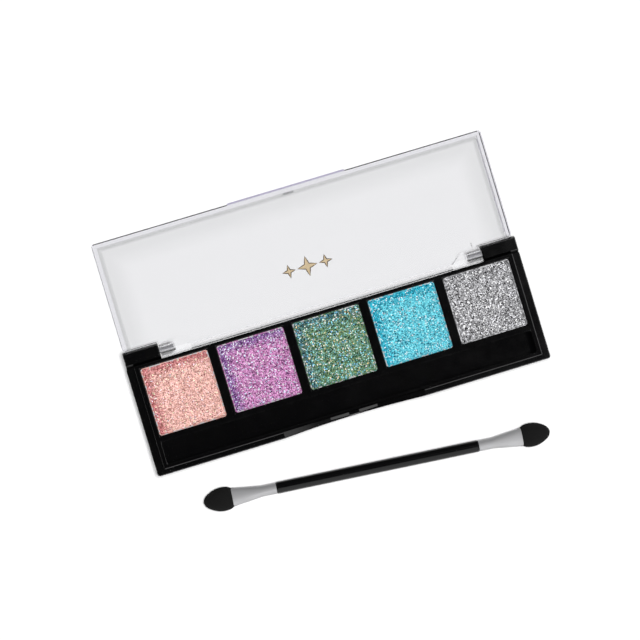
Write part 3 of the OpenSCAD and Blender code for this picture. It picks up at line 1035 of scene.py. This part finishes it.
class PALETTE_OT_applicator(bpy.types.Operator):
    """Finish the handle and ferrules and model the two foam tips"""

    bl_idname = "palette.applicator"
    bl_label = "Applicator"

    def execute(self, context):
        body = context.scene.palette_body
        handle = polished(
            "Handle black", body.black, low=0.14, high=0.2, wave=0.1, IOR=HANDLE_IOR
        )
        paint("applicator_handle", handle)
        satin = polished(
            "Ferrule satin", body.ferrule, low=0.42, high=0.54, wave=0.3, Metallic=0.6
        )
        core = polished("Core white", CORE, low=0.4, high=0.5, wave=0.2)
        foam_look = foam_material(body.foam)
        middle, direction = applicator_axis()
        turn = math.atan2(direction.y, direction.x)
        for side, along in zip(SIDES, (-direction, direction)):
            paint(f"ferrule_{side}", satin)
            paint(f"tip_core_{side}", core)
            node_name = f"sponge_tip_{side}"
            mouth = reach_along(f"ferrule_{side}", middle, along)[1]
            inner, tip = reach_along(node_name, middle, along)
            across = reach_along(node_name, middle, Vector((-along.y, along.x, 0)))
            wide = 2 * max(abs(end) for end in across)
            low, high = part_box(node_name)
            neck = mouth - inner - FOAM_NECK_CLEAR
            foam = foam_tip(f"foam_{side}", mouth, tip, wide, high.z - low.z, neck)
            foam.location = middle
            foam.rotation_euler = (0, 0, turn if side == "right" else turn + math.pi)
            settle(foam)
            smooth(foam, 60)
            dress(foam, foam_look)
            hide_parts(node_name)
            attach(foam, "applicator")
        return {"FINISHED"}


# ---------- studio ----------


TABLE_SIDE = 6.0
TABLE_DROP = 0.02 * MM
BOX_HEIGHT = 1.0
LIT_FROM = (0.6, -0.8, 0.25)
LIT_FADE = (0.02, 0.3)
HOOD_FADE = 1.25
WHITE = (1.0, 1.0, 1.0)
DARK = (0.0, 0.0, 0.0)


def grey(value):
    """A colour without a hue."""
    return (value, value, value)


def surroundings(studio):
    """What shiny parts mirror: a white dome, dark at the back and left and overhead."""
    world = bpy.data.worlds.new("Studio")
    bpy.context.scene.world = world
    world.use_nodes = True
    world.cycles_visibility.diffuse = False
    tree = world.node_tree
    sight = coordinates(tree, "Generated")
    lit_side = vectors(tree, "DOT_PRODUCT", sight, LIT_FROM)
    dusk_ends, light_starts = LIT_FADE
    dome = ramp(tree, lit_side, [(dusk_ends, grey(studio.dusk)), (light_starts, WHITE)])
    lean = studio.hood_lean
    up = (-math.sin(lean), 0.0, math.cos(lean))
    from_hood = vectors(tree, "DOT_PRODUCT", sight, up)
    edge, soft = math.cos(studio.hood_edge), math.cos(studio.hood_edge * HOOD_FADE)
    under_hood = ramp(tree, from_hood, [(soft, DARK), (edge, WHITE)])
    look = blend_colours(tree, under_hood, dome, grey(studio.hood))
    background = tree.nodes["Background"]
    tree.links.new(look, background.inputs["Color"])
    background.inputs["Strength"].default_value = studio.dome


class PALETTE_OT_studio(bpy.types.Operator):
    """Set up the table, the soft box, the surroundings and the camera"""

    bl_idname = "palette.studio"
    bl_label = "Studio"

    def execute(self, context):
        studio = context.scene.palette_studio
        only()
        ground = (0, 0, CAD_BOX[0].z - TABLE_DROP)
        bpy.ops.mesh.primitive_plane_add(size=TABLE_SIDE, location=ground)
        table = new_piece("table")
        settle(table)
        material, _tree, shader = blank("Table white")
        shader.inputs["Base Color"].default_value = opaque(studio.table)
        shader.inputs["Roughness"].default_value = 0.9
        shader.inputs["Specular IOR Level"].default_value = 0.0
        dress(table, material)

        bpy.ops.object.light_add(type="AREA", location=(0, 0, BOX_HEIGHT))
        box = bpy.context.object
        box.name = "soft_box"
        box.data.size = studio.key_size
        box.data.energy = studio.key
        box.visible_glossy = False
        box.visible_transmission = False

        surroundings(studio)
        context.scene.view_settings.view_transform = "Standard"

        bpy.ops.object.camera_add()
        camera = bpy.context.object
        camera.data.lens = studio.lens
        camera.data.sensor_width = 36.0
        camera.data.clip_end = 20.0
        turn = Euler(studio.turn)
        camera.rotation_euler = turn
        away = turn.to_matrix() @ Vector((0, 0, studio.distance))
        camera.location = Vector(studio.middle) + away
        context.scene.camera = camera
        return {"FINISHED"}


# ---------- panel and registration ----------

STEPS = ("case", "cover", "pans", "cakes", "motif", "applicator", "studio")


class PALETTE_PT_panel(bpy.types.Panel):
    """The palette's pieces, in the order in which they are dressed"""

    bl_idname = "PALETTE_PT_panel"
    bl_label = "Glitter palette"
    bl_space_type = "VIEW_3D"
    bl_region_type = "UI"
    bl_category = "Palette"

    def draw(self, context):
        for step in STEPS:
            self.layout.operator(f"palette.{step}")
        for group in ("palette_body", "palette_glitter", "palette_studio"):
            settings = getattr(context.scene, group)
            box = self.layout.box()
            for name in settings.__annotations__:
                box.prop(settings, name)


CLASSES = (
    PaletteBody,
    PaletteGlitter,
    PaletteStudio,
    PALETTE_OT_case,
    PALETTE_OT_cover,
    PALETTE_OT_pans,
    PALETTE_OT_cakes,
    PALETTE_OT_motif,
    PALETTE_OT_applicator,
    PALETTE_OT_studio,
    PALETTE_PT_panel,
)


def register():
    """Registers the classes and hangs the settings on the scene."""
    for cls in CLASSES:
        bpy.utils.register_class(cls)
    bpy.types.Scene.palette_body = PointerProperty(type=PaletteBody)
    bpy.types.Scene.palette_glitter = PointerProperty(type=PaletteGlitter)
    bpy.types.Scene.palette_studio = PointerProperty(type=PaletteStudio)


def unregister():
    """Takes the settings and the classes away again."""
    del bpy.types.Scene.palette_studio
    del bpy.types.Scene.palette_glitter
    del bpy.types.Scene.palette_body
    for cls in reversed(CLASSES):
        bpy.utils.unregister_class(cls)


def main():
    """Registers the classes and dresses the palette, one step after another."""
    register()
    for step in STEPS:
        getattr(bpy.ops.palette, step)()


if __name__ == "__main__":
    main()
